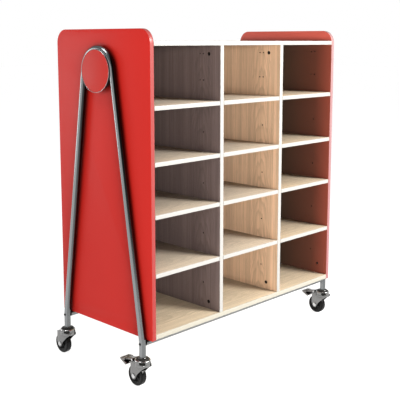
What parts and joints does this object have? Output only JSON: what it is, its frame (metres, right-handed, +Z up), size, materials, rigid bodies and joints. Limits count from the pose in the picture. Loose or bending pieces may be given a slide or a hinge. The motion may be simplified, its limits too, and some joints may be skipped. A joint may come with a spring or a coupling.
{
  "type": "book cart",
  "caption": "Mobile book cart: an open cubby case with shelves between solid end panels, carried by bent-tube A-frames on swivel casters, the front ones with brakes.",
  "frame": {"origin": "on the floor, under the middle of the whole cart's bounding box", "axes": "+Z up, the open front of the cubbies faces -Y, +X to the right as seen from the front"},
  "size_m": [1.1038, 0.5282, 1.219],
  "materials": {
    "red_laminate": "red high-pressure laminate on board, satin",
    "red_insert": "red laminate disc, satin",
    "oak_laminate": "light oak laminate with cream edge bands, satin",
    "steel_tube": "silver powder-coated steel tube, satin",
    "hub_metal": "bright metal rim, satin",
    "zinc_fastener": "zinc-plated, satin",
    "caster_steel": "zinc-plated pressed steel",
    "bearing_black": "black, satin",
    "wheel_grey": "light grey nylon",
    "tyre_black": "black rubber tread",
    "pedal_grey": "dark warm grey, moulded"
  },
  "bodies": {
    "cart": {"side_panel_left": "red_laminate", "side_panel_right": "red_laminate", "top_panel": "oak_laminate", "bottom_panel": "oak_laminate", "back_panel": "oak_laminate", "divider_left": "oak_laminate", "divider_right": "oak_laminate", "shelf_column1_level1": "oak_laminate", "shelf_column1_level2": "oak_laminate", "shelf_column1_level3": "oak_laminate", "shelf_column1_level4": "oak_laminate", "shelf_column2_level1": "oak_laminate", "shelf_column2_level2": "oak_laminate", "shelf_column2_level3": "oak_laminate", "shelf_column2_level4": "oak_laminate", "shelf_column3_level1": "oak_laminate", "shelf_column3_level2": "oak_laminate", "shelf_column3_level3": "oak_laminate", "shelf_column3_level4": "oak_laminate", "a_frame_left": "steel_tube", "frame_hub_left": "hub_metal", "disc_insert_left": "red_insert", "rail_bolt_front_left": "zinc_fastener", "frame_bolt_front_left": "zinc_fastener", "rail_bolt_rear_left": "zinc_fastener", "frame_bolt_rear_left": "zinc_fastener", "a_frame_right": "steel_tube", "frame_hub_right": "hub_metal", "disc_insert_right": "red_insert", "rail_bolt_front_right": "zinc_fastener", "frame_bolt_front_right": "zinc_fastener", "rail_bolt_rear_right": "zinc_fastener", "frame_bolt_rear_right": "zinc_fastener", "front_rail": "steel_tube", "rear_rail": "steel_tube", "caster_stem_front_left": "bearing_black", "caster_stem_front_right": "bearing_black", "caster_stem_rear_left": "bearing_black", "caster_stem_rear_right": "bearing_black"},
    "caster_front_left": {"caster_fork_front_left": "caster_steel", "wheel_axle_front_left": "zinc_fastener", "brake_pin_front_left": "zinc_fastener"},
    "wheel_front_left": {"wheel_hub_front_left": "wheel_grey", "tyre_front_left": "tyre_black"},
    "pedal_front_left": {"brake_pedal_front_left": "pedal_grey"},
    "caster_front_right": {"caster_fork_front_right": "caster_steel", "wheel_axle_front_right": "zinc_fastener", "brake_pin_front_right": "zinc_fastener"},
    "wheel_front_right": {"wheel_hub_front_right": "wheel_grey", "tyre_front_right": "tyre_black"},
    "pedal_front_right": {"brake_pedal_front_right": "pedal_grey"},
    "caster_rear_left": {"caster_fork_rear_left": "caster_steel", "wheel_axle_rear_left": "zinc_fastener"},
    "wheel_rear_left": {"wheel_hub_rear_left": "wheel_grey", "tyre_rear_left": "tyre_black"},
    "caster_rear_right": {"caster_fork_rear_right": "caster_steel", "wheel_axle_rear_right": "zinc_fastener"},
    "wheel_rear_right": {"wheel_hub_rear_right": "wheel_grey", "tyre_rear_right": "tyre_black"}
  },
  "joints": [
    {"name": "swivel_front_left", "type": "hinge", "parent": "cart", "child": "caster_front_left", "pos_m": [-0.5239, -0.22695, 0.09], "axis": [0, 0, 1], "continuous": true},
    {"name": "roll_front_left", "type": "hinge", "parent": "caster_front_left", "child": "wheel_front_left", "pos_m": [-0.5239, -0.19895, 0.0375], "axis": [1, 0, 0], "continuous": true},
    {"name": "brake_front_left", "type": "hinge", "parent": "caster_front_left", "child": "pedal_front_left", "pos_m": [-0.5239, -0.19295, 0.095], "axis": [-1, 0, 0], "range_deg": [0, 12]},
    {"name": "swivel_front_right", "type": "hinge", "parent": "cart", "child": "caster_front_right", "pos_m": [0.5239, -0.22695, 0.09], "axis": [0, 0, 1], "continuous": true},
    {"name": "roll_front_right", "type": "hinge", "parent": "caster_front_right", "child": "wheel_front_right", "pos_m": [0.5239, -0.19895, 0.0375], "axis": [1, 0, 0], "continuous": true},
    {"name": "brake_front_right", "type": "hinge", "parent": "caster_front_right", "child": "pedal_front_right", "pos_m": [0.5239, -0.19295, 0.095], "axis": [-1, 0, 0], "range_deg": [0, 12]},
    {"name": "swivel_rear_left", "type": "hinge", "parent": "cart", "child": "caster_rear_left", "pos_m": [-0.5239, 0.19865, 0.09], "axis": [0, 0, 1], "continuous": true},
    {"name": "roll_rear_left", "type": "hinge", "parent": "caster_rear_left", "child": "wheel_rear_left", "pos_m": [-0.5239, 0.22665, 0.0375], "axis": [1, 0, 0], "continuous": true},
    {"name": "swivel_rear_right", "type": "hinge", "parent": "cart", "child": "caster_rear_right", "pos_m": [0.5239, 0.19865, 0.09], "axis": [0, 0, 1], "continuous": true},
    {"name": "roll_rear_right", "type": "hinge", "parent": "caster_rear_right", "child": "wheel_rear_right", "pos_m": [0.5239, 0.22665, 0.0375], "axis": [1, 0, 0], "continuous": true}
  ]
}
